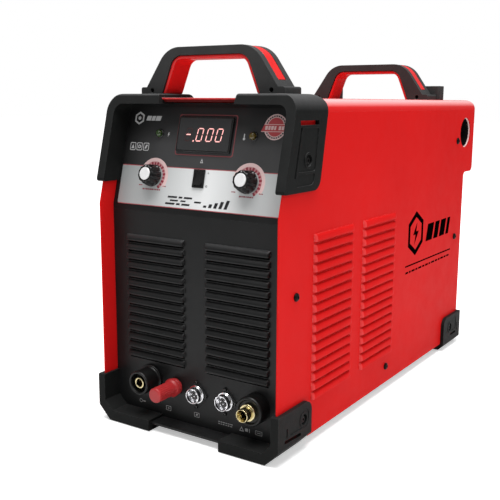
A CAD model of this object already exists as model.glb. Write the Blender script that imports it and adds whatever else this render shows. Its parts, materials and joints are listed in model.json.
"""Portable power source for a torch, in a folded red sheet case.

The machine is centred on X with Z up; its front faces -Y and its right side is +X. The front
has an upright lower panel with the sockets and a control panel above it that leans back.
Lengths are in mm and become metres in to_object(); lights, camera and shaders use metres.
"""
import json
import math

import bmesh
import bpy
from mathutils import Matrix, Vector


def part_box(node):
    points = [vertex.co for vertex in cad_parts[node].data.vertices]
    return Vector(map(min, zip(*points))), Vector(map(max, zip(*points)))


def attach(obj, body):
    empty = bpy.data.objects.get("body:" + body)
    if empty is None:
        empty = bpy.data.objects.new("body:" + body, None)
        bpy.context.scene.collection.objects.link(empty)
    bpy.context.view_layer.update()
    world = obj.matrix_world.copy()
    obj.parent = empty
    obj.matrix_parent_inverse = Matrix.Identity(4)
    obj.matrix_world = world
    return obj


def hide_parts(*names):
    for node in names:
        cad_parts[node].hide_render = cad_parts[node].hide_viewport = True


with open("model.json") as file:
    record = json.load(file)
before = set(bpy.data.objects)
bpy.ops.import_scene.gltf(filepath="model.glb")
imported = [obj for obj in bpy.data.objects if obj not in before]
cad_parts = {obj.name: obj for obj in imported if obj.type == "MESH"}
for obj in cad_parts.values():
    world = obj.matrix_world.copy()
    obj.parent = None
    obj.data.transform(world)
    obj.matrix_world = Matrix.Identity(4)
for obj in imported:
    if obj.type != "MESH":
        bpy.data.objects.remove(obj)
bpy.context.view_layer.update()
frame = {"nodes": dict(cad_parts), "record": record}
record = frame["record"]
BODY_OF = {node: body for body, nodes in record["behaviour"]["bodies"].items() for node in nodes}
SLOT_OF = {part["node"]: part.get("material_slot") for part in record["subparts"]}
MM = 0.001
SIDES = ((1, "r"), (-1, "l"))

# ------------------------------------------------------------------ main sizes
SLOPE = math.radians(14.5)  # lean of the control panel from upright
KINK_Z = 258.0              # height where the case front starts to lean
RECESS = 21.0               # depth of both panels behind the case edge
TAN, SIN, COS = math.tan(SLOPE), math.sin(SLOPE), math.cos(SLOPE)
FOOT_Y, FOOT_Z = RECESS * COS, KINK_Z - RECESS * SIN  # lower edge of the sloped panel
HALF_W = 120.0              # half width of the case
SHEET = 1.5
TOP_R = 14.0                # rounded top edges, and the height where they start
TOP_SPRING_Z = 362.0
REAR_Y = 578.0
WINDOW = (539, 328)         # round side windows: Y, Z of the centre, and radius
WINDOW_R = 22.0

# places on the sloped panel: x, v (up the slope)
DIAL_X, DIAL_V = 64, 38
LAMP_X, LAMP_V = 63, 86.4
DISPLAY = (0, 86.5)
FILM_HALF_W, FILM_FOOT, BAND_TOP, FILM_TOP = 112, 4.9, 48.6, 116.7
# places on the lower panel: X, Z
WORK = (-65, 54)
TERMINAL = (-29, 51)
SIGNAL_X, SIGNAL_Z = (1.0, 40.7), 47.7
TORCH = (82, 50)


# ------------------------------------------------------------------ placing
def slope_point(x, v, out=0.0):
    """Point on the sloped panel: v up the slope, out along the outward normal."""
    return Vector((x, FOOT_Y + v * SIN - out * COS, FOOT_Z + v * COS + out * SIN))


def on_slope(x=0.0, v=0.0, out=0.0):
    """local y -> up the slope, local z -> out of the sloped panel."""
    at = slope_point(x, v, out)
    return Matrix(((1, 0, 0, at.x), (0, SIN, -COS, at.y), (0, COS, SIN, at.z), (0, 0, 0, 1)))


def on_front(x=0.0, z=0.0):
    """local y -> Z, local z -> -Y, out of the lower panel."""
    return Matrix(((1, 0, 0, x), (0, 0, -1, RECESS), (0, 1, 0, z), (0, 0, 0, 1)))


def into_case(y, z=0.0):
    """local y -> Z, local z -> +Y."""
    return Matrix(((1, 0, 0, 0), (0, 0, 1, y), (0, 1, 0, z), (0, 0, 0, 1)))


def on_rear(x, z, y):
    """local x -> -X, local y -> Z, local z -> +Y."""
    return Matrix(((-1, 0, 0, x), (0, 0, 1, y), (0, 1, 0, z), (0, 0, 0, 1)))


def on_side(side, y=0.0, z=0.0, x=HALF_W):
    """local z -> out of the side, local y -> Z; local x runs to +Y right, -Y left."""
    return Matrix(((0, 0, side, side * x), (side, 0, 0, y), (0, 1, 0, z), (0, 0, 0, 1)))


def along_side(side):
    """local x -> +Y on both sides, local y -> Z, local z -> out of the side."""
    return Matrix(((0, 0, side, side * HALF_W), (1, 0, 0, 0), (0, 1, 0, 0), (0, 0, 0, 1)))


def span(side, near, far):
    """Left and right X of a stretch measured outward from the middle."""
    return sorted((side * near, side * far))


# ------------------------------------------------------------------ shader kit
def grey(value):
    return (value, value, value)


def scaled(colour, factor):
    return tuple(min(1, c * factor) for c in colour)


class Shader:
    """Builds one node material around its Principled BSDF."""

    def __init__(self, name, colour, rough, metal=0.0, spec=0.5, coat=0.0, coat_rough=0.1,
                 alpha=1.0, aniso=0.0):
        self.material = bpy.data.materials.new(name)
        self.material.use_nodes = True
        self.material.diffuse_color = (*colour, 1)
        self.tree = self.material.node_tree
        self.bsdf = self.tree.nodes["Principled BSDF"]
        for key, value in (("Base Color", colour), ("Roughness", rough), ("Metallic", metal),
                           ("Specular IOR Level", spec), ("Coat Weight", coat),
                           ("Coat Roughness", coat_rough), ("IOR", 1.45), ("Alpha", alpha),
                           ("Anisotropic", aniso)):
            self.set(key, value)
        self.coord = self.new("ShaderNodeTexCoord").outputs["Object"]

    def new(self, kind, **settings):
        node = self.tree.nodes.new(kind)
        for key, value in settings.items():
            setattr(node, key, value)
        return node

    def feed(self, socket, value):
        """Link a node output, or set a colour, vector or number."""
        if isinstance(value, bpy.types.NodeSocket):
            self.tree.links.new(value, socket)
        elif isinstance(value, tuple) and socket.type == "RGBA":
            socket.default_value = (*value, 1)
        else:
            socket.default_value = value

    def set(self, name, value):
        self.feed(self.bsdf.inputs[name], value)

    def node(self, kind, output, inputs, **settings):
        """New node with its inputs fed; returns the named output."""
        node = self.new(kind, **settings)
        for key, value in inputs.items():
            self.feed(node.inputs[key], value)
        return node.outputs[output]

    def noise(self, scale, detail=4.0, rough=0.6, stretch=None):
        source = self.coord
        if stretch:
            source = self.node("ShaderNodeMapping", "Vector",
                               {"Scale": stretch, "Vector": source})
        return self.node("ShaderNodeTexNoise", "Fac", {
            "Scale": scale, "Detail": detail, "Roughness": rough, "Vector": source})

    def ramp(self, factor, *stops):
        """Colour ramp; stops are (position, colour)."""
        ramp = self.new("ShaderNodeValToRGB")
        elements = ramp.color_ramp.elements
        while len(elements) < len(stops):
            elements.new(0.5)
        for element, (position, colour) in zip(elements, stops):
            element.position = position
            element.color = (*colour, 1)
        self.feed(ramp.inputs["Fac"], factor)
        return ramp.outputs["Color"]

    def blotches(self, scale, detail, dark, light, low=0.3, high=0.7):
        """Two colours blended by noise between the levels low and high."""
        return self.ramp(self.noise(scale, detail), (low, dark), (high, light))

    def math(self, operation, *values, clamp=False):
        return self.node("ShaderNodeMath", 0, dict(enumerate(values)),
                         operation=operation, use_clamp=clamp)

    def both(self, first, second):
        """Product of two masks, held within 0 to 1."""
        return self.math("MULTIPLY", first, second, clamp=True)

    def remap(self, value, source, target):
        """Carry the range source = (low, high) to target = (low, high)."""
        return self.node("ShaderNodeMapRange", "Result", {
            "From Min": source[0], "From Max": source[1],
            "To Min": target[0], "To Max": target[1], "Value": value})

    def mix(self, factor, first, second):
        return self.node("ShaderNodeMix", 2, {0: factor, 6: first, 7: second},
                         data_type="RGBA", blend_type="MIX")

    def split(self, vector):
        """The X, Y and Z outputs of a vector."""
        node = self.new("ShaderNodeSeparateXYZ")
        self.feed(node.inputs[0], vector)
        return node.outputs["X"], node.outputs["Y"], node.outputs["Z"]

    def normal_z(self):
        return self.split(self.new("ShaderNodeNewGeometry").outputs["Normal"])[2]

    def bump(self, height, strength, distance, normal=None):
        inputs = {"Strength": strength, "Distance": distance, "Height": height}
        if normal is not None:
            inputs["Normal"] = normal
        return self.node("ShaderNodeBump", "Normal", inputs)

    def uneven_sheen(self, scale, detail, low, high):
        self.set("Roughness", self.remap(self.noise(scale, detail), (0.3, 0.7), (low, high)))

    def worn_edges(self, colour, bare, radius, scale, detail, levels, most):
        """Show the bare colour in patches along edges; levels are the noise range used."""
        bevel = self.new("ShaderNodeBevel", samples=4)
        bevel.inputs["Radius"].default_value = radius
        dot = self.node("ShaderNodeVectorMath", "Value", {
            0: bevel.outputs["Normal"],
            1: self.new("ShaderNodeNewGeometry").outputs["Normal"]}, operation="DOT_PRODUCT")
        edge = self.both(self.math("SUBTRACT", 1.0, dot), 6.0)
        patches = self.remap(self.noise(scale, detail), levels, (0.0, most))
        return self.mix(self.both(edge, patches), colour, bare)


# ------------------------------------------------------------------ material families
def plastic(name, colour, rough, grain, depth, mottle=0.10, coat=0.0, spec=0.5, wear=None,
            dust=None):
    """Moulded plastic: spark-eroded grain of the given scale and depth, slight mottling."""
    mat = Shader(name, colour, rough, spec=spec, coat=coat)
    tone = mat.blotches(scale=35.0, detail=3.0, dark=scaled(colour, 1 - mottle),
                        light=scaled(colour, 1 + mottle * 1.6))
    if wear:
        tone = mat.worn_edges(tone, wear, radius=0.0007, scale=300.0, detail=3.0,
                              levels=(0.45, 0.62), most=0.45)
    if dust:
        # upward faces carry a thin film of dust, less of it low down
        film = mat.both(
            mat.remap(mat.normal_z(), source=(0.15, 0.95), target=(0.0, 1.0)),
            mat.remap(mat.noise(70.0, 3.0), source=(0.2, 0.8), target=(0.75, 1.0)))
        height = mat.split(mat.coord)[2]
        film = mat.both(film, mat.remap(height, source=(0.10, 0.30), target=(0.12, 1.0)))
        tone = mat.mix(film, tone, dust)
    mat.set("Base Color", tone)
    mat.uneven_sheen(scale=220.0, detail=3.0, low=rough - 0.06, high=rough + 0.07)
    waves = mat.bump(mat.noise(90.0, 2.0), strength=0.05, distance=0.0004)
    mat.set("Normal", mat.bump(mat.noise(grain, 2.0, 0.5), depth, 0.00012, waves))
    return mat.material


def metal(name, colour, rough, scratch=900.0, depth=0.10, stretch=(1, 1, 1), tint=0.06):
    """Metal with scratches of the given scale and depth, darkened in places by tint."""
    mat = Shader(name, colour, rough, metal=1.0)
    scratches = mat.noise(scratch, 4.0, 0.7, stretch=stretch)
    mat.set("Base Color", mat.blotches(60.0, 3.0, dark=scaled(colour, 1 - tint), light=colour))
    mat.set("Roughness", mat.remap(scratches, source=(0.3, 0.7),
                                   target=(max(0.02, rough - 0.07), rough + 0.10)))
    mat.set("Normal", mat.bump(scratches, depth, distance=0.00008))
    return mat.material


def paint(name, colour, rough, peel=0.10, coat=0.0, bare=(0.75, 0.25, 0.23), spec=0.5,
          rubbed_top=False):
    """Powder coat: soft orange peel, uneven sheen, slightly worn edges."""
    mat = Shader(name, colour, rough, coat=coat, coat_rough=0.22, spec=spec)
    tone = mat.blotches(scale=6.0, detail=4.0, dark=scaled(colour, 0.94),
                        light=scaled(colour, 1.05), low=0.25, high=0.75)
    tone = mat.worn_edges(tone, bare, radius=0.0005, scale=420.0, detail=4.0,
                          levels=(0.50, 0.66), most=0.4)
    if rubbed_top:
        # the rounded top edges are rubbed pale, but not the flat top
        facing = mat.normal_z()
        rub = mat.both(mat.remap(facing, source=(0.35, 0.86), target=(0.0, 0.85)),
                       mat.remap(facing, source=(0.95, 0.997), target=(1.0, 0.0)))
        height = mat.split(mat.coord)[2]
        rub = mat.both(rub, mat.remap(height, source=(0.355, 0.362), target=(0.0, 1.0)))
        tone = mat.mix(rub, tone, (0.95, 0.50, 0.50))
    mat.set("Base Color", tone)
    mat.uneven_sheen(scale=55.0, detail=5.0, low=rough - 0.05, high=rough + 0.08)
    fine = mat.bump(mat.noise(1900.0, 1.0), strength=0.05, distance=0.0001)
    mat.set("Normal", mat.bump(mat.noise(520.0, 2.0, 0.4), peel, 0.00025, fine))
    if rubbed_top:
        # and shine more than the sides
        height = mat.split(mat.coord)[2]
        mat.set("Coat Weight", mat.remap(height, source=(0.361, 0.370), target=(0.0, 0.9)))
    return mat.material


def ink(name, colour, rough=0.45, glow=0.0, wear=0.10, spec=0.5):
    """Screen print: thin, slightly uneven coverage."""
    mat = Shader(name, colour, rough, spec=spec)
    mat.set("Base Color", mat.blotches(scale=900.0, detail=3.0, dark=scaled(colour, 1 - wear),
                                       light=colour, low=0.25, high=0.65))
    mat.set("Normal", mat.bump(mat.noise(2500.0, 2.0), strength=0.06, distance=0.0001))
    if glow:
        mat.set("Emission Color", colour)
        mat.set("Emission Strength", glow)
    return mat.material


def silver_film():
    """Silver print, lighter in the middle of the band, with a faint brushed grain."""
    mat = Shader("silver_film", (0.55, 0.56, 0.56), rough=0.38, coat=0.15)
    offset = mat.math("ABSOLUTE", mat.math("ADD", mat.split(mat.coord)[0], -0.012))
    middle = mat.remap(offset, source=(0.0, 0.115), target=(1.0, 0.0))
    brushed = mat.math("MULTIPLY", mat.noise(500.0, 2.0, stretch=(1, 30, 30)), 0.06)
    mat.set("Base Color", mat.ramp(mat.math("ADD", middle, brushed), (0.0, (0.29, 0.305, 0.305)),
                                   (0.45, (0.47, 0.485, 0.485)), (1.0, (0.74, 0.75, 0.75))))
    mat.set("Normal", mat.bump(mat.noise(2400.0, 2.0), strength=0.04, distance=0.0001))
    return mat.material


def dark_film():
    """Dark field of the overlay: fades toward the upper left, fine satin grain."""
    mat = Shader("overlay_film", (0.046, 0.046, 0.047), rough=0.42, spec=0.32)
    x, _, z = mat.split(mat.coord)
    fade_x = mat.remap(x, source=(-0.113, -0.062), target=(0.12, 1.0))
    fade_z = mat.remap(z, source=(0.349, 0.326), target=(0.30, 1.0))
    field = mat.blotches(scale=35.0, detail=3.0, dark=(0.046, 0.046, 0.047),
                         light=(0.050, 0.050, 0.051))
    mat.set("Base Color", mat.mix(mat.both(fade_x, fade_z), grey(0.004), field))
    mat.uneven_sheen(scale=220.0, detail=3.0, low=0.36, high=0.49)
    mat.set("Normal", mat.bump(mat.noise(1600.0, 2.0), strength=0.05, distance=0.00012))
    return mat.material


def spun_cap():
    """Spun disc: radial streaks that catch the light in fans."""
    mat = Shader("spun_cap", (0.80, 0.80, 0.81), rough=0.36, metal=0.35, aniso=0.3)
    tangent = mat.new("ShaderNodeTangent", direction_type="RADIAL", axis="Z")
    mat.set("Tangent", tangent.outputs["Tangent"])
    mat.uneven_sheen(scale=500.0, detail=2.0, low=0.30, high=0.38)
    mat.set("Base Color", mat.blotches(scale=400.0, detail=3.0, dark=(0.90, 0.90, 0.91),
                                       light=grey(0.97)))
    return mat.material


def gauge_glass():
    mat = Shader("gauge_glass", (0.9, 0.95, 0.95), rough=0.05, alpha=0.16, coat=1.0,
                 coat_rough=0.03)
    mat.uneven_sheen(scale=90.0, detail=3.0, low=0.03, high=0.10)
    return mat.material


def smoked_bowl():
    mat = Shader("smoked_bowl", (0.05, 0.055, 0.06), rough=0.12, alpha=0.72, coat=0.6,
                 coat_rough=0.05)
    mat.set("Base Color", mat.blotches(scale=70.0, detail=4.0, dark=(0.035, 0.04, 0.045),
                                       light=(0.07, 0.075, 0.08)))
    return mat.material


MATS = {
    "red": paint("red_powder_coat", (0.655, 0.0105, 0.0105), rough=0.42, spec=0.03,
                 rubbed_top=True),
    "red_dark": paint("red_powder_coat_shade", (0.085, 0.004, 0.004), rough=0.5, spec=0.1),
    "red_edge": paint("red_powder_coat_crown", (0.70, 0.040, 0.040), rough=0.36, coat=0.06,
                      spec=0.2),
    "grey_paint": paint("dark_powder_coat", (0.028, 0.028, 0.030), rough=0.5, peel=0.25,
                        coat=0.05, bare=(0.30, 0.30, 0.31)),
    "zinc": metal("zinc_sheet", (0.50, 0.51, 0.52), rough=0.38, scratch=260.0, depth=0.12,
                  stretch=(1, 0.2, 1)),
    "panel": plastic("panel_moulding", (0.0078, 0.0080, 0.0082), rough=0.38, grain=2400.0,
                     depth=0.12, spec=0.26, wear=grey(0.07), dust=(0.050, 0.050, 0.051)),
    "guard": plastic("guard_moulding", (0.0098, 0.0103, 0.0101), rough=0.46, grain=2000.0,
                     depth=0.16, spec=0.06, wear=grey(0.09), dust=(0.080, 0.080, 0.081)),
    "shell": plastic("handle_shell_moulding", (0.0320, 0.0325, 0.0325), rough=0.46,
                     grain=2200.0, depth=0.16, spec=0.32, wear=grey(0.09),
                     dust=(0.045, 0.045, 0.046)),
    "handle_red": plastic("handle_core_moulding", (0.66, 0.010, 0.010), rough=0.33,
                          grain=1500.0, depth=0.06, mottle=0.05, coat=0.15,
                          wear=(0.7, 0.12, 0.12)),
    "cap_red": plastic("terminal_cap_moulding", (0.36, 0.018, 0.020), rough=0.42, grain=1800.0,
                       depth=0.12, mottle=0.08, wear=(0.6, 0.2, 0.2)),
    "black": plastic("black_moulding", grey(0.0045), rough=0.36, grain=2600.0, depth=0.10,
                     spec=0.34),
    "black_gloss": plastic("black_switch_moulding", grey(0.007), rough=0.22, grain=3000.0,
                           depth=0.04, coat=0.2),
    "knob": plastic("knob_moulding", (0.0045, 0.0045, 0.005), rough=0.20, grain=2600.0,
                    depth=0.06, wear=grey(0.05)),
    "screw": metal("black_oxide", (0.014, 0.013, 0.013), rough=0.42, scratch=1500.0,
                   depth=0.15),
    "brass": metal("turned_brass", (0.66, 0.57, 0.33), rough=0.16, scratch=1200.0, depth=0.16,
                   stretch=(1, 8, 1)),
    "chrome": metal("polished_chrome", (0.80, 0.80, 0.82), rough=0.10, scratch=700.0,
                    depth=0.05, tint=0.02),
    "alu": metal("spun_aluminium", (0.80, 0.80, 0.81), rough=0.26),
    "sink": metal("mill_aluminium", (0.62, 0.63, 0.64), rough=0.36, scratch=300.0, depth=0.14,
                  stretch=(1, 0.08, 1)),
    "board": plastic("solder_mask", (0.010, 0.09, 0.03), rough=0.35, grain=900.0, depth=0.10,
                     mottle=0.15, coat=0.3),
    "rubber": plastic("cable_jacket", grey(0.012), rough=0.6, grain=1400.0, depth=0.25),
    "cast": plastic("painted_casting", (0.05, 0.054, 0.06), rough=0.45, grain=700.0,
                    depth=0.35, mottle=0.12),
    "copper": metal("enamelled_copper", (0.60, 0.24, 0.10), rough=0.30, depth=0.25,
                    stretch=(1, 1, 12)),
    "void": ink("dark_inside", grey(0.002), rough=0.9),
    "ink_white": ink("ink_white", grey(0.50)),
    "ink_mark": ink("ink_mark", grey(0.26)),
    "ink_dark": ink("ink_dark", (0.012, 0.012, 0.014)),
    "ink_red": ink("ink_red", (0.25, 0.016, 0.036)),
    "ink_frame": ink("ink_frame", (0.20, 0.045, 0.05)),
    "ink_rose": ink("ink_rose", (0.36, 0.075, 0.085)),
    "ink_pink": ink("ink_pink", (0.52, 0.24, 0.25)),
    "ink_pale": ink("ink_pale", (0.70, 0.50, 0.49)),
    "ink_badge": ink("ink_badge", (0.44, 0.055, 0.062)),
    "ink_black": ink("ink_black_side", (0.0016, 0.0010, 0.0010), rough=0.55, spec=0.0),
    "rim": plastic("trim_ring", (0.86, 0.62, 0.60), rough=0.3, grain=900.0, depth=0.05),
    "digit": ink("segment_glow", (1.0, 0.46, 0.43), rough=0.4, glow=0.72, wear=0.02),
    "digit_halo": ink("segment_halo", (0.040, 0.014, 0.014), rough=0.35, wear=0.05),
    "lens_face": plastic("smoked_window", (0.026, 0.026, 0.027), rough=0.16, grain=800.0,
                         depth=0.02, mottle=0.05, coat=0.5),
    "green": plastic("green_lens", (0.018, 0.042, 0.006), rough=0.15, grain=900.0, depth=0.04,
                     mottle=0.2, coat=0.6),
    "amber": plastic("amber_lens", (0.085, 0.058, 0.005), rough=0.15, grain=900.0, depth=0.04,
                     mottle=0.2, coat=0.6),
    "silver": silver_film(),
    "film": dark_film(),
    "cap": spun_cap(),
    "glass": gauge_glass(),
    "bowl": smoked_bowl(),
}

# CAD material slot -> material
SLOT_MAT = {
    "red_paint": "red", "grey_paint": "grey_paint", "zinc": "zinc", "panel_plastic": "panel",
    "guard_plastic": "guard", "film": "film", "window": "black_gloss", "board": "board",
    "chrome": "chrome", "green_lens": "green", "amber_lens": "amber", "knob_black": "knob",
    "aluminium": "cap", "heatsink_alu": "sink", "switch_black": "black_gloss",
    "brass": "brass", "red_plastic": "cap_red", "socket_black": "black",
    "handle_red": "handle_red", "screw_black": "screw", "fan_black": "black",
    "grille": "chrome", "breaker": "black", "lead": "rubber", "bowl": "bowl",
    "reg_body": "cast", "needle": "cap_red", "copper": "copper",
}


# ------------------------------------------------------------------ object kit
done = set()  # CAD nodes that already have their piece


def to_scene(obj):
    bpy.context.scene.collection.objects.link(obj)
    return obj


def mesh_object(name, geo):
    """Turn a bmesh in metres into a scene object and free it."""
    mesh = bpy.data.meshes.new(name)
    geo.to_mesh(mesh)
    geo.free()
    return to_scene(bpy.data.objects.new(name, mesh))


def smooth(obj, angle):
    """Shade smooth, with sharp edges where faces meet above the angle in degrees."""
    geo = bmesh.new()
    geo.from_mesh(obj.data)
    for face in geo.faces:
        face.smooth = True
    limit = math.radians(angle)
    for edge in geo.edges:
        edge.smooth = not (len(edge.link_faces) != 2 or edge.calc_face_angle(0.0) > limit)
    geo.to_mesh(obj.data)
    geo.free()


def to_object(name, geo, place=None, angle=35.0):
    """Smoothed scene object from a bmesh in mm, moved by the matrix place."""
    if place is not None:
        bmesh.ops.transform(geo, matrix=place, verts=geo.verts)
    bmesh.ops.recalc_face_normals(geo, faces=geo.faces)
    bmesh.ops.scale(geo, vec=(MM, MM, MM), verts=geo.verts)
    obj = mesh_object(name, geo)
    smooth(obj, angle)
    return obj


def add_bevel(obj, width, segments, angle):
    bevel = obj.modifiers.new("soft_edges", "BEVEL")
    bevel.width = width * MM
    bevel.segments = segments
    bevel.limit_method = "ANGLE"
    bevel.angle_limit = math.radians(angle)
    bevel.use_clamp_overlap = True
    bevel.miter_outer = "MITER_ARC"
    obj.modifiers.new("even_normals", "WEIGHTED_NORMAL").keep_sharp = True


def settle(obj, mats, body="chassis", nodes=(), slot=None, bevel=0.0, segs=2, bevel_angle=28.0):
    for key in [mats] if isinstance(mats, str) else mats:
        obj.data.materials.append(MATS[key])
    if bevel:
        add_bevel(obj, bevel, segs, bevel_angle)
    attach(obj, body)
    for node in nodes:
        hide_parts(node)
    done.update(nodes)


def part(name, geo, place, mats, angle=35.0, **details):
    settle(to_object(name, geo, place, angle), mats, **details)


def mesh_stats(geo):
    return abs(geo.calc_volume(signed=True)), sum(face.calc_area() for face in geo.faces)


def merged(node):
    """Mesh of a CAD node with coplanar triangles merged, if that keeps its volume and area."""
    geo = bmesh.new()
    geo.from_mesh(frame["nodes"][node].data)
    bmesh.ops.remove_doubles(geo, verts=geo.verts, dist=1e-6)
    bmesh.ops.recalc_face_normals(geo, faces=geo.faces)
    volume, area = mesh_stats(geo)
    clean = geo.copy()
    bmesh.ops.dissolve_limit(clean, angle_limit=math.radians(0.6), verts=clean.verts,
                             edges=clean.edges, delimit=set())
    probe = clean.copy()
    bmesh.ops.triangulate(probe, faces=probe.faces)
    new_volume, new_area = mesh_stats(probe)
    probe.free()
    if (abs(new_volume - volume) < 2e-3 * max(volume, 1e-12)
            and abs(new_area - area) < 2e-3 * area):
        geo.free()
        return clean, True
    clean.free()
    return geo, False


def cad_copy(node, name):
    geo, is_clean = merged(node)
    obj = mesh_object(name, geo)
    smooth(obj, 30.0)
    return obj, is_clean


def skin(node, mat=None, bevel=0.4, segs=2, bevel_angle=28.0):
    """A finished copy of a CAD node; edges are softened only if its faces merged cleanly."""
    obj, is_clean = cad_copy(node, node + "_skin")
    settle(obj, mat or SLOT_MAT[SLOT_OF[node]], BODY_OF[node], (node,), SLOT_OF[node],
           bevel if is_clean else 0.0, segs, bevel_angle)


# ------------------------------------------------------------------ outlines
def rect(x0, y0, x1, y1):
    return [(x0, y0), (x1, y0), (x1, y1), (x0, y1)]


def rect_hole(x0, y0, x1, y1):
    return [(x0, y0), (x0, y1), (x1, y1), (x1, y0)]


def slanted(x, y0, width, y1, lean):
    """Bar whose top edge is shifted by lean."""
    return [(x, y0), (x + width, y0), (x + width + lean, y1), (x + lean, y1)]


def blocks(x, y0, y1, widths, gap):
    """Row of small rectangles starting at x."""
    row = []
    for width in widths:
        row.append(rect(x, y0, x + width, y1))
        x += width + gap
    return row


def ring(radius, count, x=0.0, y=0.0):
    turn = 2 * math.pi / count
    return [(x + radius * math.cos(turn * i), y + radius * math.sin(turn * i))
            for i in range(count)]


def flipped(points):
    return list(reversed(points))


def ring_hole(radius, count, x=0.0, y=0.0):
    return flipped(ring(radius, count, x, y))


def round_poly(points, radii, steps):
    """Polygon with rounded corners, one radius per corner."""
    outline = []
    for i, (point, radius) in enumerate(zip(points, radii)):
        if radius <= 0:
            outline.append(point)
            continue
        corner = Vector(point)
        back = (Vector(points[i - 1]) - corner).normalized()
        ahead = (Vector(points[(i + 1) % len(points)]) - corner).normalized()
        half = back.angle(ahead) / 2
        centre = corner + (back + ahead).normalized() * (radius / math.sin(half))
        start = corner + back * (radius / math.tan(half)) - centre
        end = corner + ahead * (radius / math.tan(half)) - centre
        first = math.atan2(start.y, start.x)
        sweep = (math.atan2(end.y, end.x) - first + math.pi) % (2 * math.pi) - math.pi
        for k in range(steps + 1):
            turn = first + sweep * k / steps
            outline.append((centre.x + radius * math.cos(turn),
                            centre.y + radius * math.sin(turn)))
    return outline


def round_rect(width, height, radius, x=0.0, y=0.0):
    corners = rect(-width / 2, -height / 2, width / 2, height / 2)
    return [(x + a, y + b) for a, b in round_poly(corners, [radius] * 4, 5)]


def round_frame(width, height, radii, line, x, y):
    """Rounded frame with the given line width; radii = (outer, inner)."""
    inner = round_rect(width - 2 * line, height - 2 * line, radii[1], x, y)
    return round_rect(width, height, radii[0], x, y), [flipped(inner)]


def hexagon(radius, x, y):
    """Hexagon with a point at the top."""
    turns = [math.radians(90 + 60 * k) for k in range(6)]
    return [(x + radius * math.cos(a), y + radius * math.sin(a)) for a in turns]


def hexagon_ring(outer, inner, x, y):
    return hexagon(outer, x, y), [flipped(hexagon(inner, x, y))]


def annulus(inner, outer, x, y, count):
    return ring(outer, count, x, y), [ring_hole(inner, count, x, y)]


def arc_band(inner, outer, x, y, count, start, end):
    """Part of an annulus between two angles; count is the steps in a full turn."""
    steps = max(4, int(count * (end - start) / 360))
    turns = [math.radians(start + (end - start) * i / steps) for i in range(steps + 1)]
    return ([(x + outer * math.cos(a), y + outer * math.sin(a)) for a in turns]
            + [(x + inner * math.cos(a), y + inner * math.sin(a)) for a in reversed(turns)])


def spoke(degrees, inner, outer, half_width, x=0.0, y=0.0):
    """Radial bar about (x, y)."""
    cos, sin = math.cos(math.radians(degrees)), math.sin(math.radians(degrees))
    corners = ((inner, -1), (outer, -1), (outer, 1), (inner, 1))
    return [(x + cos * r - sin * half_width * t, y + sin * r + cos * half_width * t)
            for r, t in corners]


# ------------------------------------------------------------------ solids
def move(geo, place, verts):
    if place is not None:
        bmesh.ops.transform(geo, matrix=place, verts=verts)


def add_prism(geo, outline, z0, z1, place=None):
    low = [geo.verts.new((x, y, z0)) for x, y in outline]
    high = [geo.verts.new((x, y, z1)) for x, y in outline]
    geo.faces.new(flipped(low))
    geo.faces.new(high)
    for i in range(len(low)):
        j = (i + 1) % len(low)
        geo.faces.new((low[i], low[j], high[j], high[i]))
    move(geo, place, low + high)


def add_plate(geo, outline, holes, z0, z1, place=None):
    """Flat plate with holes."""
    levels = []
    for z, facing in ((z1, 1), (z0, -1)):
        loops = []
        edges = []
        for points in [outline] + holes:
            loop = [geo.verts.new((x, y, z)) for x, y in points]
            edges += [geo.edges.new((loop[i], loop[(i + 1) % len(loop)]))
                      for i in range(len(loop))]
            loops.append(loop)
        fill = bmesh.ops.triangle_fill(geo, use_beauty=True, use_dissolve=False, edges=edges)
        for face in fill["geom"]:
            if isinstance(face, bmesh.types.BMFace):
                face.normal_update()
                if face.normal.z * facing < 0:
                    face.normal_flip()
        levels.append(loops)
    for top, bottom in zip(*levels):
        for i in range(len(top)):
            j = (i + 1) % len(top)
            geo.faces.new((top[i], bottom[i], bottom[j], top[j]))
    move(geo, place, [vert for loops in levels for loop in loops for vert in loop])


def add_lathe(geo, profile, count, place=None, lobes=None):
    """Closed (r, z) profile turned about local z; lobes(r, z, angle) may reshape the radius."""
    rows = []
    for r, z in profile:
        if r <= 1e-9:
            rows.append([geo.verts.new((0, 0, z))])
            continue
        row = []
        for i in range(count):
            a = 2 * math.pi * i / count
            radius = lobes(r, z, a) if lobes else r
            row.append(geo.verts.new((radius * math.cos(a), radius * math.sin(a), z)))
        rows.append(row)
    for k, row in enumerate(rows):
        after = rows[(k + 1) % len(rows)]
        if len(row) == 1 and len(after) == 1:
            continue
        for i in range(count):
            j = (i + 1) % count
            if len(row) == 1:
                geo.faces.new((row[0], after[j], after[i]))
            elif len(after) == 1:
                geo.faces.new((row[i], row[j], after[0]))
            else:
                geo.faces.new((row[i], row[j], after[j], after[i]))
    move(geo, place, [vert for row in rows for vert in row])


def add_loft(geo, sections, place=None):
    """Skin over matching closed sections of 3D points, capped; returns the side faces."""
    rows = [[geo.verts.new(point) for point in section] for section in sections]
    faces = []
    for row, after in zip(rows, rows[1:]):
        for i in range(len(row)):
            j = (i + 1) % len(row)
            faces.append(geo.faces.new((row[i], after[i], after[j], row[j])))
    geo.faces.new(flipped(rows[0]))
    geo.faces.new(rows[-1])
    move(geo, place, [vert for row in rows for vert in row])
    return faces


def add_rail(geo, section, half_length):
    """Bar along X with a (Y, Z) section."""
    return add_loft(geo, [[(x, y, z) for y, z in section] for x in (-half_length, half_length)])


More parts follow.
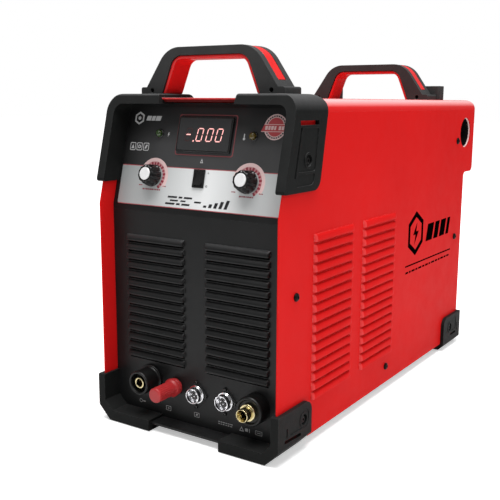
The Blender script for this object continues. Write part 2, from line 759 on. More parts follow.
def add_louvre(geo, length, profile, sheet, ramp, place, crown=0):
    """Pressed louvre.

    profile: outer (down, out) pairs from root to lip. ramp: (along, share of the full
    depth) at each end. crown: material index of the spans next to the first end.
    """
    inner = [(down - (0.5 * sheet if k else 0.0), out - sheet)
             for k, (down, out) in enumerate(profile)]
    loop = profile + flipped(inner)
    stations = ramp + [(length - along, share) for along, share in reversed(ramp)]
    faces = add_loft(geo, [[(along, -down, out * share if out > 0 else out)
                            for down, out in loop] for along, share in stations], place)
    for face in faces[:4 * len(loop)]:
        face.material_index = crown


def turned(name, profile, place, mat, count=48, angle=32.0, **details):
    geo = bmesh.new()
    add_lathe(geo, profile, count)
    part(name, geo, place, mat, angle, **details)


def printed(name, shapes, place, mat, z0, z1):
    """Print as thin raised pieces; shapes are outlines or (outline, holes)."""
    geo = bmesh.new()
    for shape in shapes:
        if isinstance(shape, tuple):
            add_plate(geo, *shape, z0, z1)
        else:
            add_prism(geo, shape, z0, z1)
    part(name, geo, place, mat)


# ------------------------------------------------------------------ sheet cover
SIDE_LOUVRE_Y = [(70.5, 163.0), (190.0, 283.5)]  # front and rear column
SIDE_LOUVRE_Z = [235 - 11 * k for k in range(17)]
SIDE_PROFILE = [(0.0, -0.3), (0.1, 0.8), (0.5, 1.7), (1.2, 2.5), (2.3, 3.1), (3.8, 3.55),
                (5.4, 3.85), (6.8, 4.0), (7.6, 3.8), (8.0, 3.2), (8.0, 2.2)]
SIDE_RAMP = [(0.0, 0.0), (0.2, 0.34), (0.8, 0.58), (1.9, 0.77), (3.5, 0.90), (5.4, 0.97),
             (7.4, 1.0)]
SLOT_INSET = 1.2  # slot ends inside the louvre ends
# side outline (Y, Z) up to the start of the rounded top edge
SIDE_OUTLINE = (
    [(0, 14), (65.2, 14), (65.2, 11), (473.8, 11), (473.8, 14)]
    + round_poly([(540, 14), (540, 268), (REAR_Y, 268), (REAR_Y, TOP_SPRING_Z)],
                 [0, 7, 8, 0], 8)
    + [((TOP_SPRING_Z - KINK_Z) * TAN, TOP_SPRING_Z), (0, KINK_Z)])
REAR_EDGE_R, REAR_EDGE_Z = 9.0, 368  # rounding of the top sheet's rear end
# folded front hem under the top edge: section (Y, Z)
HEM = [(30.45, 375.95), (30.2, 375.8), (30.15, 375.5), (30.6, 374.9), (32.2, 373.4),
       (34.6, 371.6), (35.6, 371.6), (35.6, 372.6), (34.4, 374.4)]
HEM_HALF_LENGTH = 104.5


def top_section(side, degrees):
    """Four corners of the top sheet at one angle of its rounded edge."""
    cos, sin = math.cos(math.radians(degrees)), math.sin(math.radians(degrees))
    centre = HALF_W - TOP_R
    x, z = side * (centre + TOP_R * cos), TOP_SPRING_Z + TOP_R * sin
    xi, zi = side * (centre + (TOP_R - SHEET) * cos), TOP_SPRING_Z + (TOP_R - SHEET) * sin
    rise = max(0.0, z - REAR_EDGE_Z)
    rear = REAR_Y - REAR_EDGE_R + math.sqrt(REAR_EDGE_R ** 2 - rise ** 2)
    return [(x, (z - KINK_Z) * TAN, z), (x, rear, z), (xi, rear, zi),
            (xi, (zi - KINK_Z) * TAN, zi)]


def build_cover():
    geo = bmesh.new()
    holes = [ring_hole(WINDOW_R, 64, *WINDOW)]
    holes += [rect_hole(near + SLOT_INSET, z - 8.6, far - SLOT_INSET, z - 1.0)
              for near, far in SIDE_LOUVRE_Y for z in SIDE_LOUVRE_Z]
    for side, _ in SIDES:
        place = along_side(side)
        add_plate(geo, SIDE_OUTLINE, holes, -SHEET, 0.0, place)
        for near, far in SIDE_LOUVRE_Y:
            for z in SIDE_LOUVRE_Z:
                add_louvre(geo, far - near, SIDE_PROFILE, 1.0, SIDE_RAMP,
                           place @ Matrix.Translation((near, z, 0)), crown=1)
    # rounded top edges and flat top as one bent sheet
    angles = range(0, 91, 10)
    add_loft(geo, [top_section(1, a) for a in angles]
             + [top_section(-1, a) for a in reversed(angles)])
    for face in add_rail(geo, HEM, HEM_HALF_LENGTH)[2:]:
        face.material_index = 2
    part("case_cover_sheet", geo, None, ["red", "red_edge", "red_dark"], angle=32.0,
         nodes=("case_cover",), slot="red_paint")


build_cover()

# round windows: pressed rim and pale trim ring just inside the edge, as (r, z)
WINDOW_RINGS = (
    ("window_rim", "red", 64, [(22.0, 0.12), (22.9, 0.1), (23.2, -0.05), (22.8, -1.6),
                               (22.6, -7.0), (22.0, -7.0), (22.0, -1.0)]),
    ("window_trim", "rim", 72, [(21.95, -0.9), (21.95, -2.6), (21.0, -2.6), (20.95, -2.3),
                                (21.0, -1.3), (21.4, -0.9)]),
)
for name, mat, count, profile in WINDOW_RINGS:
    geo = bmesh.new()
    for side, _ in SIDES:
        add_lathe(geo, profile, count, on_side(side, *WINDOW))
    part(name, geo, None, mat, angle=40.0, slot="red_paint")
# black sleeve behind each window, closed at its inner end but for a slot
for side, letter in SIDES:
    geo = bmesh.new()
    add_lathe(geo, [(21.9, -2.7), (21.9, -30.0), (12.0, -30.0), (12.0, -28.6), (20.4, -28.6),
                    (20.4, -2.7)], 56)
    add_plate(geo, ring(12.1, 40), [flipped(round_rect(6.0, 14.0, 2.4, -3.0, -2.0))],
              -29.8, -28.8)
    part("window_sleeve_" + letter, geo, on_side(side, *WINDOW), "black", angle=40.0,
         slot="socket_black")

# ------------------------------------------------------------------ front panel moulding
PANEL_HALF_W = 118.2
LOWER_TOP = FOOT_Z - 3.0
FRONT_LOUVRE_X = (14.5, 97.7)  # outward from the middle
FRONT_LOUVRE_Z = [221.7 - 10.6 * k for k in range(14)]
FRONT_PROFILE = [(-0.5, -0.3), (-0.3, 0.7), (0.3, 1.8), (1.1, 2.8), (2.2, 3.6), (3.5, 4.2),
                 (4.8, 4.5), (5.7, 4.5), (6.4, 4.1), (6.7, 3.3), (6.6, 2.2)]
FRONT_RAMP = [(0.0, 0.0), (0.25, 0.42), (0.7, 0.68), (1.3, 0.85), (2.2, 0.96), (3.2, 1.0)]
FRONT_SLOT_INSET = 1.1
# socket holes in the lower panel: centre, radius
SOCKET_HOLES = ((WORK, 9), (TERMINAL, 4.2), ((SIGNAL_X[0], SIGNAL_Z), 6.2),
                ((SIGNAL_X[1], SIGNAL_Z), 6.2), (TORCH, 9.5))
# upper edge of the sloped field, then the (Y, Z) section of step, field and top edge
EDGE_Y, EDGE_Z = FOOT_Y + 119.5 * SIN, FOOT_Z + 119.5 * COS
FIELD_SECTION = [
    (RECESS, LOWER_TOP), (RECESS + 0.10, LOWER_TOP + 0.6), (FOOT_Y + 3 * TAN, FOOT_Z + 3),
    (EDGE_Y + 2.5 * TAN, EDGE_Z + 2.3), (EDGE_Y + 8.0, EDGE_Z + 2.3),
    (EDGE_Y + 8.0, EDGE_Z - 0.6), (EDGE_Y + 4.0, EDGE_Z - 0.6),
    (FOOT_Y + 3 * TAN + 3.1, FOOT_Z + 3), (RECESS + 3, LOWER_TOP)]


def build_front_panel():
    geo = bmesh.new()
    louvres = [(*span(side, *FRONT_LOUVRE_X), z) for side, _ in SIDES for z in FRONT_LOUVRE_Z]
    holes = [ring_hole(radius, 32, *centre) for centre, radius in SOCKET_HOLES]
    holes += [rect_hole(left + FRONT_SLOT_INSET, z - 9.3, right - FRONT_SLOT_INSET, z - 0.8)
              for left, right, z in louvres]
    add_plate(geo, rect(-PANEL_HALF_W, 10.0, PANEL_HALF_W, LOWER_TOP), holes, -3.0, 0.0,
              on_front())
    for left, right, z in louvres:
        add_louvre(geo, right - left, FRONT_PROFILE, 1.2, FRONT_RAMP, on_front(left, z))
    add_rail(geo, FIELD_SECTION, PANEL_HALF_W)
    # sill below and flanges at both sides
    add_prism(geo, rect(-113, 0, 113, 2.4), 0, 23.6, into_case(0.3, 7.65))
    for side, _ in SIDES:
        add_prism(geo, rect(side * PANEL_HALF_W, 48, side * 115.7, 230), 0, 27,
                  into_case(23.0))
    part("front_panel_moulding", geo, None, "panel", angle=32.0, nodes=("front_panel",),
         slot="panel_plastic")


build_front_panel()
# dark dust screens behind the front and side louvres
geo = bmesh.new()
for side, _ in SIDES:
    left, right = span(side, 12.5, 99.5)
    add_prism(geo, rect(left, 74.0, right, 225.0), -5.6, -4.8, on_front())
part("front_dust_screen", geo, None, "void", slot="panel_plastic")
geo = bmesh.new()
for side, _ in SIDES:
    for near, far in SIDE_LOUVRE_Y:
        add_prism(geo, rect(near - 2.0, 46.0, far + 2.0, 237.0), -3.4, -2.6, along_side(side))
part("side_dust_screen", geo, None, "void", slot="panel_plastic")
# narrow coloured line along the step under the silver band
printed("step_line", [rect(-FILM_HALF_W, -1.6, FILM_HALF_W, -0.9)], on_slope(v=6.2),
        "ink_red", 0.0, 0.12)

# ------------------------------------------------------------------ overlay film and print
FILM_FACE = 0.22
dial_holes = [ring_hole(4.6, 32, side * DIAL_X, DIAL_V) for side, _ in SIDES]
lamp_holes = [ring_hole(3.1, 24, side * LAMP_X, LAMP_V) for side, _ in SIDES]
switch_hole = rect_hole(-7.2, 28.2, 7.2, 47.8)
geo = bmesh.new()
add_plate(geo, round_poly(rect(-FILM_HALF_W, FILM_FOOT, FILM_HALF_W, FILM_TOP),
                          [1.5, 1.5, 11, 11], 8),
          dial_holes + lamp_holes + [switch_hole], 0.03, FILM_FACE, on_slope())
part("overlay_film", geo, None, "film", nodes=("panel_overlay",), slot="film")


def film_print(name, shapes, mat, z0=0.0, z1=0.04):
    """Print on the overlay; heights are above the film face."""
    printed(name, shapes, on_slope(out=FILM_FACE), mat, z0, z1)


band = round_poly(rect(-FILM_HALF_W, FILM_FOOT, FILM_HALF_W, BAND_TOP), [1.5, 1.5, 0, 0], 4)
film_print("silver_band", [(band, dial_holes + [switch_hole])], "silver", z1=0.06)
gap_in, gap_out = DIAL_X - 17.4, DIAL_X + 17.4  # the line breaks above each dial
film_print("band_top_line",
           [rect(x0, BAND_TOP, x1, 49.5) for x0, x1 in (
               (-FILM_HALF_W, -gap_out), (-gap_in, gap_in), (gap_out, FILM_HALF_W))],
           "ink_rose", z1=0.07)
film_print("band_foot_line", [rect(-111, 4.0, 111, FILM_FOOT)], "ink_rose", z1=0.05)

# dial scales: outer arc, graduated arc, end marks and caption as rows of blocks
CAPTION_WIDTHS = (2.2, 1.6, 2.4, 1.2, 2.0, 2.6, 1.4, 2.2, 1.8, 1.6)
for side, letter in SIDES:
    x = side * DIAL_X
    film_print("dial_field_" + letter, [arc_band(16.6, 20.6, x, DIAL_V, 72, -38.0, 172.0)],
               "ink_pale", 0.06, 0.10)
    film_print("dial_under_" + letter, [arc_band(12.9, 16.6, x, DIAL_V, 72, -58.0, 205.0)],
               "ink_pink", 0.06, 0.09)
    ticks = [spoke(202 - 16.0 * k, 12.9, *((15.7, 0.95) if k % 2 else (16.5, 1.15)), x, DIAL_V)
             for k in range(17)]
    film_print("dial_ticks_" + letter, ticks, "ink_red", 0.09, 0.12)
    row = []
    for start in (x - 19.5, x + 14.8):
        row += blocks(start, 26.4, 27.6, (1.5, 1.1, 1.4), gap=0.45)
    inset, count = (13.4, 10) if side < 0 else (9.0, 7)
    row += blocks(x - inset, 22.0, 23.6, CAPTION_WIDTHS[:count], gap=0.7)
    film_print("dial_caption_" + letter, row, "ink_red", 0.06, 0.10)

# band ornament: slanted bars (x, width, v0, v1), x taken at the ornament's foot
ORNAMENT_FOOT, ORNAMENT_LEAN = 7.7, 0.30
ornament = [(x, width, v0, v1) for x, width in ((-42.0, 13.0), (-26.6, 5.0), (-19.2, 11.0))
            for v0, v1 in ((15.2, 17.3), (ORNAMENT_FOOT, 9.8))]
ornament += [(-37.0, 11.0, 11.6, 13.4), (-22.4, 7.0, 11.6, 13.4), (-3.5, 9.0, 11.5, 13.5)]
ornament += [(10.4 + 6.8 * k, 4.0, ORNAMENT_FOOT, 10.1 + 1.8 * k) for k in range(5)]
film_print("band_ornament",
           [slanted(x + (v0 - ORNAMENT_FOOT) * ORNAMENT_LEAN, v0, width, v1,
                    (v1 - v0) * ORNAMENT_LEAN) for x, width, v0, v1 in ornament],
           "ink_dark", 0.06, 0.11)

# display frame and small pictograms
film_print("display_frame", [round_frame(78.4, 45.6, (3.0, 2.2), 1.2, 0.4, 86.1)],
           "ink_frame", z1=0.05)
film_print("display_pointer", [([(-1.9, 55.6), (1.9, 55.6), (0.0, 60.6)],
                                [[(0.0, 58.8), (1.0, 56.3), (-1.0, 56.3)]])], "ink_white")
film_print("bolt_icon", [[(-51.6, 88.0), (-50.2, 88.0), (-50.8, 86.2), (-49.9, 86.2),
                          (-52.1, 82.9), (-51.4, 85.3), (-52.3, 85.3)]], "ink_white")
film_print("heat_icon", [arc_band(0.01, 1.5, 50.6, 83.6, 20, 0, 359.0),
                         round_rect(1.2, 4.6, 0.55, 50.6, 86.8)], "ink_white")
# three framed symbols: triangle, ring, slanted bar
film_print("square_symbols",
           [round_frame(8.2, 9.0, (1.4, 0.9), 0.8, x, 70.8) for x in (-101.0, -91.2, -81.4)]
           + [[(-103.2, 68.4), (-98.8, 68.4), (-101.0, 73.4)],
              annulus(1.1, 2.1, -91.2, 70.8, 20), slanted(-83.6, 68.6, 2.4, 73.0, 2.0)],
           "ink_white")
# hexagon at upper left with three short bars
film_print("corner_mark", [hexagon_ring(7.6, 5.4, -97.0, 103.6), hexagon(2.3, -97.0, 103.6)],
           "ink_white")
film_print("corner_bars", [slanted(x, 101.0, width, 106.4, 1.6) for x, width in (
    (-87.0, 6.6), (-79.4, 4.8), (-73.6, 7.4))], "ink_white")
# round seal at upper right: double ring, disc and a ribbon across
SEAL = (87.4, 97.0)
film_print("seal_ring", [annulus(12.3, 13.6, *SEAL, 64), annulus(9.9, 10.7, *SEAL, 56)],
           "ink_pale", z1=0.05)
film_print("seal_pips", [spoke(360.0 / 26 * k, 11.0, 12.0, 0.55, *SEAL) for k in range(26)],
           "ink_pale", z1=0.045)
film_print("seal_field", [ring(9.9, 48, *SEAL)], "ink_badge", z1=0.05)
film_print("seal_ribbon", [[(70.4, 92.2), (102.6, 92.6), (103.4, 99.6), (73.6, 99.4)]],
           "ink_badge", 0.05, 0.08)
film_print("seal_ribbon_edge", [[(70.4, 91.7), (102.5, 92.1), (102.6, 92.7), (70.5, 92.3)],
                                [(73.4, 99.3), (103.4, 99.5), (103.5, 100.1), (73.7, 99.9)]],
           "ink_pale", 0.05, 0.085)
dashes = []
x = 75.0
for width, shown in ((3.0, True), (2.4, True), (3.0, True), (2.2, True), (1.4, False),
                     (2.8, True), (2.8, True), (3.0, True)):
    if shown:
        dashes.append([(x, 94.0), (x + width, 94.05), (x + width + 0.3, 98.1), (x + 0.3, 98.05)])
    x += width + 0.85
film_print("seal_dashes", dashes, "ink_pale", 0.08, 0.11)

# ------------------------------------------------------------------ display
LENS_FACE = 3.62
geo = bmesh.new()
add_prism(geo, round_rect(72.6, 39.0, 1.6, *DISPLAY), 0.45, 3.3)
part("display_case", geo, on_slope(), "black_gloss", angle=30.0, nodes=("display_window",),
     slot="window", bevel=0.45, segs=3)
geo = bmesh.new()
add_prism(geo, round_rect(68.6, 35.2, 1.2, *DISPLAY), 3.2, LENS_FACE)
part("display_lens", geo, on_slope(), "lens_face", slot="window", bevel=0.15)

# segment ends in half widths and half heights of a figure
SEGMENTS = {"a": ((-1, 1), (1, 1)), "g": ((-1, 0), (1, 0)), "d": ((-1, -1), (1, -1)),
            "f": ((-1, 1), (-1, 0)), "b": ((1, 1), (1, 0)), "e": ((-1, 0), (-1, -1)),
            "c": ((1, 0), (1, -1))}
SIGN_X, DIGIT_X, DIGIT_V, DIGIT_SKEW = -20.5, (-5.2, 8.0, 20.6), 85.8, 0.16


def segment(x, key, thick=1.05, width=7.1, height=13.7, gap=0.45):
    """Outline of one bar of a seven-segment figure centred at x."""
    start, end = [Vector((a * width / 2, b * height / 2)) for a, b in SEGMENTS[key]]
    along = (end - start).normalized()
    start, end = start + along * gap, end - along * gap
    half = along * (thick / 2)
    across = Vector((-half.y, half.x))
    points = [start, start + half + across, end - half + across, end, end - half - across,
              start + half - across]
    return [(x + p.x + p.y * DIGIT_SKEW, DIGIT_V + p.y) for p in points]


lit = [segment(SIGN_X, "g", thick=1.2, width=7.2, height=13.6, gap=0.35)]
lit += [segment(x, key, thick=1.08) for x in DIGIT_X for key in "abcdef"]
lit.append([(-14.0, 78.1), (-12.4, 78.1), (-12.15, 79.7), (-13.75, 79.7)])
printed("display_digits", lit, on_slope(), "digit", LENS_FACE, 3.68)
unlit = [segment(SIGN_X, key) for key in "abcdef"] + [segment(x, "g") for x in DIGIT_X]
printed("display_unlit", unlit, on_slope(), "digit_halo", LENS_FACE, 3.66)

# ------------------------------------------------------------------ lamps
LAMP_PROFILE = [(0, 6.15), (1.2, 6.05), (2.3, 5.75), (3.1, 5.25), (3.65, 4.5), (3.85, 3.7),
                (3.88, 1.75), (2.48, 1.75), (2.48, -5.9), (0, -5.9)]
for side, name in ((-1, "green"), (1, "amber")):
    turned("lamp_lens_" + name, LAMP_PROFILE, on_slope(side * LAMP_X, LAMP_V), name,
           nodes=("lamp_" + name,), slot=name + "_lens")
skin("lamp_bezels", "black_gloss", bevel=0.2)

# ------------------------------------------------------------------ dials
KNOB_PROFILE = [(0, 2.2), (12.2, 2.2), (12.5, 2.5), (12.5, 3.6), (12.4, 4.6), (12.2, 6.4),
                (11.8, 9.0), (11.3, 11.6), (10.8, 13.9), (10.3, 15.0), (9.6, 15.65),
                (8.8, 16.0), (7.5, 16.0), (7.22, 15.75), (7.2, 15.2), (0, 15.2)]
SHAFT_PROFILE = [(0, -19.9), (3.0, -19.9), (3.0, 2.4), (0, 2.4)]
CAP_PROFILE = [(0, 16.62), (1.0, 16.64), (4.0, 16.70), (6.1, 16.78), (6.7, 16.7),
               (7.05, 16.3), (7.1, 15.9), (7.1, 15.25), (0, 15.25)]


def fade(z, low, rise, high, fall):
    """0 outside low..high, 1 inside, with slopes rise and fall long."""
    return max(0.0, min(1.0, (z - low) / rise, (high - z) / fall))


def knob_flutes(r, z, angle):
    """Twelve flutes, leaving the recess for the cap round."""
    if r < 8.0:
        return r
    wave = 0.5 + 0.5 * math.cos(12 * angle)
    return r * (1 - 0.17 * wave ** 1.4 * fade(z, low=2.6, rise=1.2, high=15.8, fall=0.8))


for side, name in ((-1, "left"), (1, "right")):
    knob = "knob_" + name
    place = on_slope(side * DIAL_X, DIAL_V)
    geo = bmesh.new()
    add_lathe(geo, KNOB_PROFILE, 168, lobes=knob_flutes)
    add_lathe(geo, SHAFT_PROFILE, 32)
    part("dial_" + name, geo, place, "knob", angle=28.0, body=knob, nodes=(knob,),
         slot="knob_black")
    # raised pointer on the knob's end face
    geo = bmesh.new()
    add_prism(geo, [(-0.45, 8.0), (0.45, 8.0), (0.35, 9.6), (-0.35, 9.6)], 15.2, 16.12)
    part("dial_pointer_" + name, geo, place, "ink_white", body=knob, slot="knob_black")
    # the cap keeps its own origin, so that its radial tangent runs about its axis
    geo = bmesh.new()
    add_lathe(geo, CAP_PROFILE, 72)
    cap = to_object("dial_cap_" + name, geo, angle=40.0)
    cap.matrix_world = (Matrix.Translation(slope_point(side * DIAL_X, DIAL_V) * MM)
                        @ on_slope().to_3x3().to_4x4())
    settle(cap, "cap", knob, (knob + "_cap",), "aluminium")

# ------------------------------------------------------------------ rocker switch
film_print("rocker_on_mark", [rect(10.2, 44.2, 12.4, 44.8), rect(10.2, 45.8, 11.4, 46.4)],
           "ink_dark", 0.06, 0.10)
film_print("rocker_off_mark", [annulus(0.7, 1.2, 11.0, 30.6, 20)], "ink_dark", 0.06, 0.10)
skin("mode_switch_body", "black_gloss", bevel=0.35)
skin("mode_switch_rocker", "black_gloss", bevel=0.4, segs=3)

# ------------------------------------------------------------------ sockets
# turned profiles are (r, z), z out of the lower panel
turned("work_collar", [
    (8.9, 0.05), (16.3, 0.05), (16.5, 0.3), (16.5, 2.7), (16.1, 3.2), (14.6, 3.6),
    (14.05, 4.4), (14.0, 22.0), (13.75, 23.2), (13.2, 23.8), (12.4, 24.0), (11.5, 23.7),
    (11.1, 22.9), (10.9, 22.0), (10.6, 14.0), (6.65, 14.0), (6.6, 2.0), (4.65, 2.0),
    (4.65, -12.0), (8.9, -12.0)],
    on_front(*WORK), "black", 72, nodes=("work_socket_collar",), slot="socket_black")
turned("work_brass", [
    (0, -22.0), (4.2, -22.0), (4.5, -21.7), (4.5, 2.1), (6.5, 2.1), (6.5, 21.2), (6.3, 21.8),
    (5.8, 22.1), (5.1, 22.1), (4.6, 21.7), (4.5, 21.2), (4.5, 3.0), (0, 3.0)],
    on_front(*WORK), "brass", 56, nodes=("work_socket_brass",), slot="brass")


def grip_grooves(r, z, angle):
    """22 grooves along the terminal grip."""
    depth = 0.42 * (0.5 + 0.5 * math.cos(22 * angle)) ** 2
    return r - depth * fade(z, low=15.0, rise=1.5, high=35.5, fall=1.2)


geo = bmesh.new()
add_lathe(geo, [
    (6.05, 5.0), (10.2, 5.0), (10.5, 5.3), (10.5, 8.2), (10.1, 9.0), (9.1, 10.2),
    (8.75, 11.5), (8.55, 14.8), (8.5, 17.0), (8.5, 26.0), (8.5, 34.5), (8.4, 36.4),
    (8.0, 37.2), (7.2, 37.7), (6.0, 37.8), (0, 37.8), (0, 34.0), (6.05, 34.0)],
    132, lobes=grip_grooves)
part("terminal_grip", geo, on_front(*TERMINAL), "cap_red", angle=30.0, body="terminal_cap",
     nodes=("terminal_cap",), slot="red_plastic")
turned("terminal_foot", [(3.05, 0.05), (9.4, 0.05), (9.6, 0.3), (9.6, 3.3), (9.2, 4.0),
                         (8.5, 4.4), (3.05, 4.4)],
       on_front(*TERMINAL), "cap_red", 56, slot="brass")
turned("terminal_stud", [(0, -13.9), (3.9, -13.9), (3.9, -0.2), (3.0, 0.05), (3.0, 32.6),
                         (2.6, 32.95), (0, 33.0)],
       on_front(*TERMINAL), "brass", 40, nodes=("terminal_post",), slot="brass")
skin("terminal_insert", "brass", bevel=0.2)

SIGNAL_SHELL = [
    (5.1, -10.0), (6.1, -10.0), (6.1, 0.05), (10.4, 0.05), (10.6, 0.3), (10.6, 1.4),
    (10.3, 1.75), (9.3, 1.95), (9.0, 2.3), (9.0, 3.0), (8.75, 3.25), (8.75, 3.6), (9.0, 3.85),
    (9.0, 8.2), (8.85, 8.7), (8.55, 8.95), (8.15, 9.0), (7.85, 8.8), (7.7, 8.3), (7.7, 2.65),
    (5.1, 2.65)]
SMALL_SCREW = [(0, 0.7), (2.2, 0.7), (2.2, 1.5), (1.7, 2.3), (1.0, 2.5), (0.9, 1.8), (0, 1.8)]
for x, letter in zip(SIGNAL_X, "ab"):
    place = on_front(x, SIGNAL_Z)
    turned("signal_shell_" + letter, SIGNAL_SHELL, place, "chrome", 72, angle=26.0,
           nodes=("signal_sockets",) if letter == "a" else (), slot="chrome")
    # cup floor with three keys
    geo = bmesh.new()
    add_plate(geo, ring(7.62, 48), [ring_hole(5.15, 36)], 2.7, 4.4)
    for degrees in (35, 155, 275):
        add_prism(geo, spoke(degrees, 5.3, 7.5, 0.9), 4.4, 7.6)
    part("signal_cup_" + letter, geo, place, "chrome", slot="chrome", bevel=0.2)
    # square flange standing on its corner, with a screw at each corner
    geo = bmesh.new()
    flange = round_poly([(0, -17.6), (17.0, 0), (0, 17.6), (-17.0, 0)], [4.2] * 4, 6)
    add_plate(geo, flange, [ring_hole(6.15, 40)], 0.02, 0.7)
    part("signal_flange_" + letter, geo, place, "panel", slot="socket_black", bevel=0.25)
    for k, (dx, dz) in enumerate(((0, 14.0), (13.0, 0), (0, -14.4), (-13.0, 0))):
        turned("signal_screw_%s%d" % (letter, k), SMALL_SCREW, on_front(x + dx, SIGNAL_Z + dz),
               "black_gloss", 24, slot="screw_black")
geo = bmesh.new()
for x in SIGNAL_X:
    add_lathe(geo, [(0, 0.5), (5.0, 0.5), (5.0, 5.0), (4.7, 5.35), (0, 5.4)], 40,
              on_front(x, SIGNAL_Z))
part("signal_insulators", geo, None, "black_gloss", nodes=("signal_inserts",),
     slot="socket_black")
geo = bmesh.new()
for x in SIGNAL_X:
    for dx, dz in ring(2.4, 3):
        add_lathe(geo, [(0, 5.3), (0.8, 5.3), (0.8, 7.5), (0.55, 7.9), (0, 8.0)], 16,
                  on_front(x + dx, SIGNAL_Z + dz))
part("signal_pins", geo, None, "chrome", slot="chrome")

skin("torch_socket_body", "black", bevel=0.5, segs=3)
torch_brass, _ = cad_copy("torch_socket_brass", "torch_brass")
settle(torch_brass, "brass", nodes=("torch_socket_brass",), slot="brass", bevel=0.35)
# thread crests on the torch nipple
geo = bmesh.new()
for k in range(7):
    z = 19.8 + 1.25 * k
    add_lathe(geo, [(7.25, z), (7.30, z + 0.25), (7.30, z + 0.45), (7.25, z + 0.7),
                    (7.0, z + 0.7), (7.0, z)], 56, on_front(*TORCH))
part("torch_thread", geo, None, "brass", slot="brass")

# printed marks beneath the sockets, from left to right
marks = [annulus(1.6, 2.3, -82.0, 22.5, 24), rect(-79.0, 21.8, -75.0, 23.2),
         round_frame(7.4, 5.6, (0.8, 0.5), 0.6, -40.0, 22.0),
         annulus(0.5, 1.1, -40.0, 22.0, 18),
         round_frame(7.4, 5.6, (0.8, 0.5), 0.6, 1.0, 23.0),
         slanted(-1.0, 21.8, 2.6, 24.2, 1.4)]
x = 31.0
for width in (2.6, 1.8, 3.0, 2.2, 2.6, 3.2):
    marks += [rect(x, 22.0, x + width, 22.9), rect(x, 19.6, x + width * 0.8, 20.5)]
    x += width + 0.8
marks += [([(59.2, 18.4), (65.4, 18.4), (62.3, 23.8)],
           [[(62.3, 22.2), (64.0, 19.2), (60.6, 19.2)]]),
          rect(67.0, 19.2, 70.6, 22.8), rect(72.0, 18.8, 73.0, 23.2),
          round_frame(9.0, 5.0, (0.8, 0.5), 0.6, 84.5, 21.0), rect(81.8, 20.6, 87.2, 21.4)]
printed("connector_marks", marks, on_front(), "ink_mark", 0.02, 0.07)

# ------------------------------------------------------------------ handles and guards
for end in ("front", "rear"):
    skin(end + "_handle_core", "handle_red", bevel=1.5, segs=4, bevel_angle=30.0)
    for half in ("front", "back"):
        skin("%s_handle_shell_%s" % (end, half), "shell", bevel=1.6, segs=4, bevel_angle=30.0)
skin("top_stop_blocks", "shell", bevel=0.8, segs=3)
skin("handle_screws", "screw", bevel=0.2)
for row in ("upper", "lower_front", "lower_rear"):
    for hand in ("right", "left"):
        skin("guard_%s_%s" % (row, hand), "guard", bevel=1.2, segs=4, bevel_angle=40.0)
skin("cover_screws", "screw", bevel=0.25)
# crosshead recess on every cover screw: Y, Z, X of the head
SCREW_HEADS = ((35, 174, 121.2), (270, 33.5, 121.2), (511, 172.4, 121.2), (506, 316.3, 121.2),
               (48.5, 36.8, 122.5), (502, 32, 122.5), (49, 314, 122.5))
geo = bmesh.new()
for side, _ in SIDES:
    for head in SCREW_HEADS:
        for width, height in ((2.2, 0.55), (0.55, 2.2)):
            add_prism(geo, rect(-width / 2, -height / 2, width / 2, height / 2), -0.1, 0.12,
                      on_side(side, *head))
part("screw_drives", geo, None, "void", slot="screw_black")

# ------------------------------------------------------------------ side print
# drawn as (Y, Z): hexagon ring with a bolt, slanted bars, a rule and a row of blocks
HEX_Y, HEX_Z = 357.0, 197.5
BOLT = ((3.5, 15.0), (-9.5, -1.6), (-1.0, -1.6), (-4.5, -15.5), (10.0, 2.6), (1.2, 2.6))
side_shapes = [hexagon_ring(30.5, 22.5, HEX_Y, HEX_Z),
               [(HEX_Y + dy, HEX_Z + dz) for dy, dz in BOLT]]
y = 394.0
for width in (24.0, 17.0, 21.0, 12.0):
    side_shapes.append(slanted(y, 181.0, width, 205.0, 7.0))
    y += width + 5.5
side_shapes.append([(324, 155.0), (497, 154.0), (497, 156.0), (324, 157.0)])
side_shapes += blocks(326.0, 145.6, 148.2, (9, 6, 11, 7, 12, 8, 10, 6, 13, 9, 7, 11, 8, 10),
                      gap=3.0)


def mirrored(shape):
    """Shape with its first coordinate negated."""
    if isinstance(shape, tuple):
        return mirrored(shape[0]), [mirrored(hole) for hole in shape[1]]
    return [(-a, b) for a, b in shape]


printed("side_print_right", side_shapes, on_side(1), "ink_black", 0.02, 0.07)
printed("side_print_left", [mirrored(shape) for shape in side_shapes], on_side(-1),
        "ink_black", 0.02, 0.07)

# ------------------------------------------------------------------ rear
for node, mat, bevel, segs in (
        ("fan_guard", "chrome", 0.15, 2), ("fan_rotor", "black", 0.3, 2),
        ("fan_frame", "black", 0.6, 2), ("breaker_lever", "black_gloss", 0.5, 3),
        ("regulator_knob", "black", 0.5, 2), ("filter_bowl", "bowl", 0.5, 2)):
    skin(node, mat, bevel, segs)
case_low, case_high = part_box("gauge_case")
gauge_x, _, gauge_z = [(low + high) / 2 * 1000 for low, high in zip(case_low, case_high)]
turned("gauge_lens", [(0, 0), (18.4, 0), (18.4, 0.8), (15.0, 1.3), (8.0, 1.7), (0, 1.8)],
       on_rear(gauge_x, gauge_z, case_high[1] * 1000 - 2.2), "glass", 56, angle=40.0,
       slot="window")
geo = bmesh.new()
for k in range(28):
    inner, half_width = (14.6, 0.18) if k % 3 else (13.6, 0.3)
    add_prism(geo, spoke(225 - 10 * k, inner, 16.0, half_width), 0.0, 0.05)
needle_low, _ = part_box("gauge_needle")
part("gauge_ticks", geo, on_rear(gauge_x, gauge_z, needle_low[1] * 1000 - 0.5), "ink_dark",
     angle=40.0, slot="reg_body")

# every node without a piece of its own
for node in sorted(frame["nodes"]):
    if node not in done:
        skin(node)


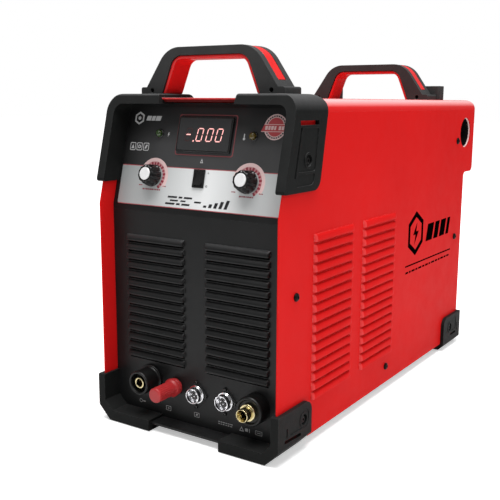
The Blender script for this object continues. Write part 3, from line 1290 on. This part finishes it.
# ------------------------------------------------------------------ stage
def floor_material():
    """Pale sheet that glows to white away from the machine, so no edge shows."""
    mat = Shader("floor_pale", grey(0.90), rough=0.7, spec=0.2)
    mat.set("Base Color", mat.blotches(scale=3.0, detail=3.0, dark=scaled(grey(0.90), 0.985),
                                       light=grey(0.90)))
    mat.set("Normal", mat.bump(mat.noise(60.0, 3.0), strength=0.02, distance=0.0005))
    distance = mat.node("ShaderNodeVectorMath", "Value", {
        0: mat.new("ShaderNodeNewGeometry").outputs["Position"],
        1: (0.0, 0.28, 0.0)}, operation="DISTANCE")
    glow = mat.math("MULTIPLY", mat.remap(distance, source=(0.30, 0.95), target=(0.42, 1.0)),
                    mat.new("ShaderNodeLightPath").outputs["Is Camera Ray"])
    emission = mat.node("ShaderNodeEmission", "Emission",
                        {"Color": grey(1), "Strength": glow})
    total = mat.node("ShaderNodeAddShader", "Shader", {0: mat.bsdf.outputs[0], 1: emission})
    mat.feed(mat.tree.nodes["Material Output"].inputs["Surface"], total)
    return mat.material


geo = bmesh.new()
bmesh.ops.create_grid(geo, x_segments=24, y_segments=24, size=14.0)
for vert in geo.verts:
    vert.co.z = -0.0004
floor = mesh_object("studio_floor", geo)
floor.data.materials.append(floor_material())

# white world, dimmed for everything but the camera
world = bpy.data.worlds.new("studio")
bpy.context.scene.world = world
world.use_nodes = True
nodes, links = world.node_tree.nodes, world.node_tree.links
background = nodes["Background"]
background.inputs["Color"].default_value = (1.0, 1.0, 1.0, 1)
light_path = nodes.new("ShaderNodeLightPath")
dimmer = nodes.new("ShaderNodeMapRange")
dimmer.inputs["To Min"].default_value = 0.24
dimmer.inputs["To Max"].default_value = 1.0
links.new(light_path.outputs["Is Camera Ray"], dimmer.inputs["Value"])
links.new(dimmer.outputs["Result"], background.inputs["Strength"])


def softbox(name, at, target, size, power):
    light = bpy.data.lights.new(name, "AREA")
    light.shape = "RECTANGLE"
    light.size, light.size_y = size
    light.energy = power
    light.color = (1, 1, 1)
    obj = to_scene(bpy.data.objects.new(name, light))
    obj.location = at
    aim = Vector(target) - Vector(at)
    obj.rotation_euler = aim.to_track_quat("-Z", "Y").to_euler()


softbox("top_softbox", at=(0.1, -0.1, 2.3), target=(0.0, 0.25, 0.2), size=(1.8, 1.8),
        power=80.0)
softbox("front_softbox", at=(-0.3, -2.2, 1.9), target=(0.0, 0.0, 0.2), size=(1.3, 0.9),
        power=4.5)
softbox("side_softbox", at=(2.2, -0.1, 1.9), target=(0.1, 0.25, 0.2), size=(1.5, 1.1),
        power=17.0)

CAMERA_AT = (0.52024, -0.65678, 0.37214)
YAW, PITCH, ROLL = math.radians(33.47), math.radians(10.56), math.radians(0.28)
lens = bpy.data.cameras.new("camera")
lens.sensor_width = 36.0
lens.lens = 57.25152
lens.clip_start, lens.clip_end = 0.05, 50.0
camera = to_scene(bpy.data.objects.new("camera", lens))
forward = Vector((-math.sin(YAW) * math.cos(PITCH), math.cos(YAW) * math.cos(PITCH),
                  -math.sin(PITCH)))
level = Vector((math.cos(YAW), math.sin(YAW), 0))
upright = level.cross(forward)
right = level * math.cos(ROLL) + upright * math.sin(ROLL)
up = -level * math.sin(ROLL) + upright * math.cos(ROLL)
camera.matrix_world = Matrix((*zip(right, up, -forward, CAMERA_AT), (0, 0, 0, 1)))
bpy.context.scene.camera = camera
bpy.context.scene.view_settings.view_transform = "Standard"

bpy.context.view_layer.update()
